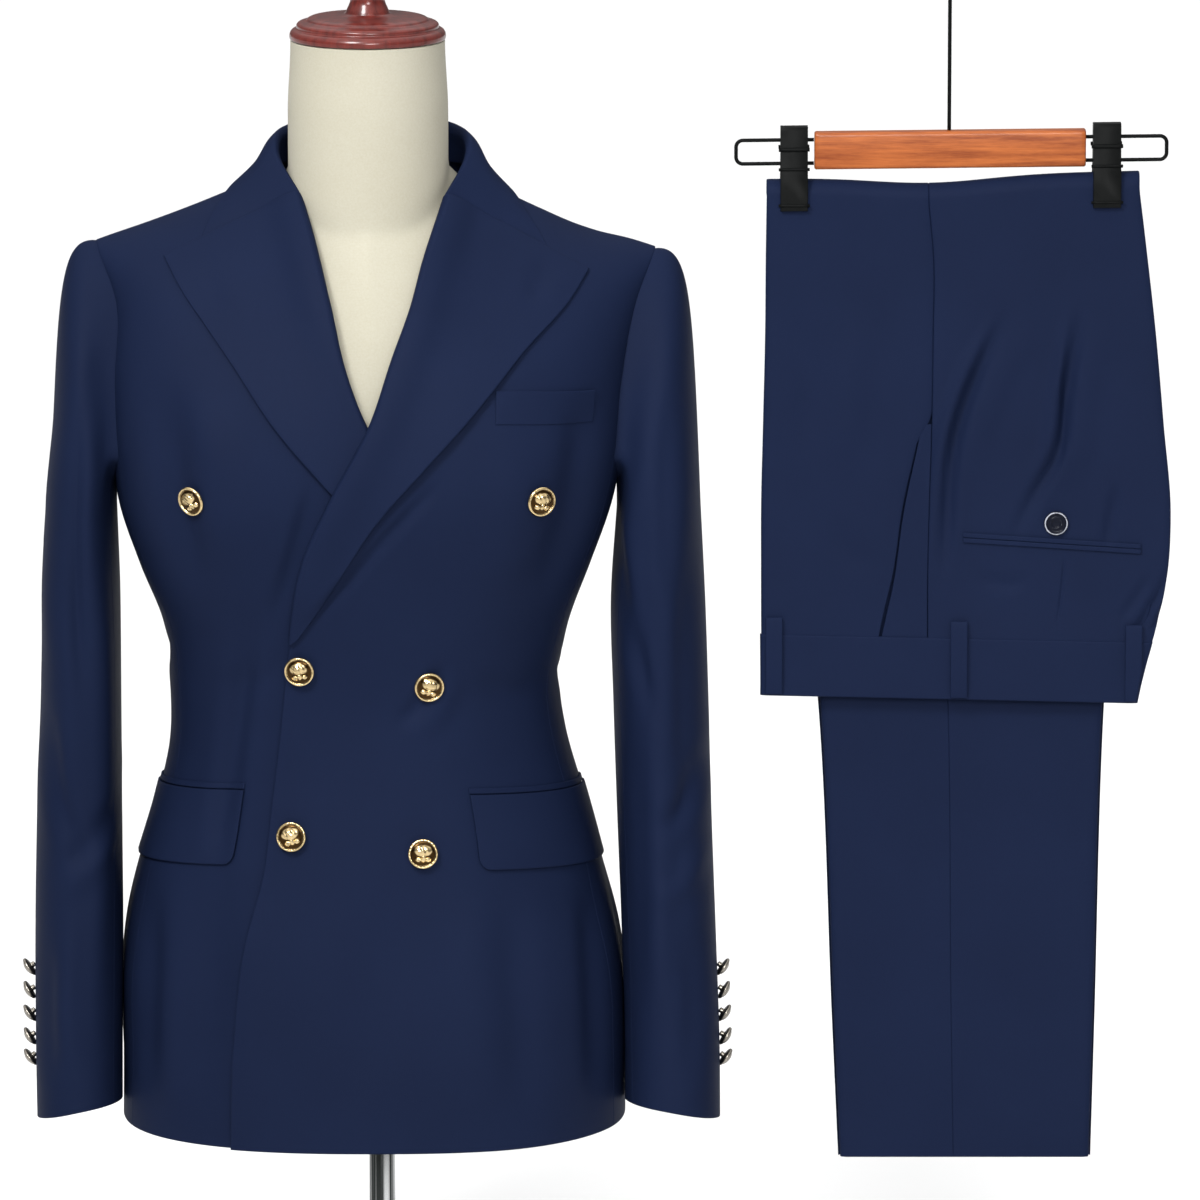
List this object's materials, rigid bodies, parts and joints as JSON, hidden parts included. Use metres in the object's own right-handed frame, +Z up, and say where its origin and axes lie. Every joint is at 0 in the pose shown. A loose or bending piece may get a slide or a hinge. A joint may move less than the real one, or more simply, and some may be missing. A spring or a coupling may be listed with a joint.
{
  "type": "two-piece suit on a dress form and a clip hanger",
  "caption": "Double-breasted jacket with peaked lapels on a limbless dress form, with its trousers folded over a clip hanger beside it.",
  "frame": {"origin": "centre of the underside of the dress form's round base, on the floor", "axes": "+Z up; -Y the way the jacket faces; +X the wearer's left, where the hanger with the trousers is"},
  "size_m": [0.8493, 0.34, 1.135],
  "materials": {
    "navy_wool": "fine worsted wool with a soft sheen",
    "gilt_button": "polished gilt, darker in the relief",
    "cuff_button": "polished pale gilt",
    "dark_button": "glossy, with a paler rim",
    "orange_wood": "stained and varnished",
    "black_metal": "black, half gloss",
    "form_cover": "smooth cream jersey",
    "dark_wood": "mahogany stain under gloss varnish",
    "bright_steel": "polished"
  },
  "bodies": {
    "root": {"back_pocket_button": "dark_button", "back_pocket_jet_lower": "navy_wool", "back_pocket_jet_upper": "navy_wool", "belt_loop_back": "navy_wool", "belt_loop_front": "navy_wool", "belt_loop_side": "navy_wool", "breast_welt": "navy_wool", "button_lower_left": "gilt_button", "button_lower_right": "gilt_button", "button_middle_left": "gilt_button", "button_middle_right": "gilt_button", "button_top_left": "gilt_button", "button_top_right": "gilt_button", "cuff_button_left_1": "cuff_button", "cuff_button_left_2": "cuff_button", "cuff_button_left_3": "cuff_button", "cuff_button_left_4": "cuff_button", "cuff_button_left_5": "cuff_button", "cuff_button_right_1": "cuff_button", "cuff_button_right_2": "cuff_button", "cuff_button_right_3": "cuff_button", "cuff_button_right_4": "cuff_button", "cuff_button_right_5": "cuff_button", "form_cap": "dark_wood", "form_torso": "form_cover", "hanger_bar": "orange_wood", "hanger_clip_left": "black_metal", "hanger_clip_right": "black_metal", "hanger_hook": "black_metal", "hanger_wire_left": "black_metal", "hanger_wire_right": "black_metal", "jacket_collar": "navy_wool", "jacket_left_back": "navy_wool", "jacket_left_front": "navy_wool", "jacket_left_lapel": "navy_wool", "jacket_left_side": "navy_wool", "jacket_right_back": "navy_wool", "jacket_right_front": "navy_wool", "jacket_right_lapel": "navy_wool", "jacket_right_side": "navy_wool", "left_pocket_flap": "navy_wool", "left_pocket_jet": "navy_wool", "left_top_sleeve": "navy_wool", "left_under_sleeve": "navy_wool", "right_pocket_flap": "navy_wool", "right_pocket_jet": "navy_wool", "right_top_sleeve": "navy_wool", "right_under_sleeve": "navy_wool", "stand_base": "bright_steel", "stand_pole": "bright_steel", "trouser_inner_layers_lower": "navy_wool", "trouser_inner_layers_upper": "navy_wool", "trouser_left_back": "navy_wool", "trouser_left_front": "navy_wool", "trouser_pocket_facing": "navy_wool", "trouser_right_back": "navy_wool", "trouser_right_front": "navy_wool", "trouser_waistband": "navy_wool"}
  },
  "joints": []
}
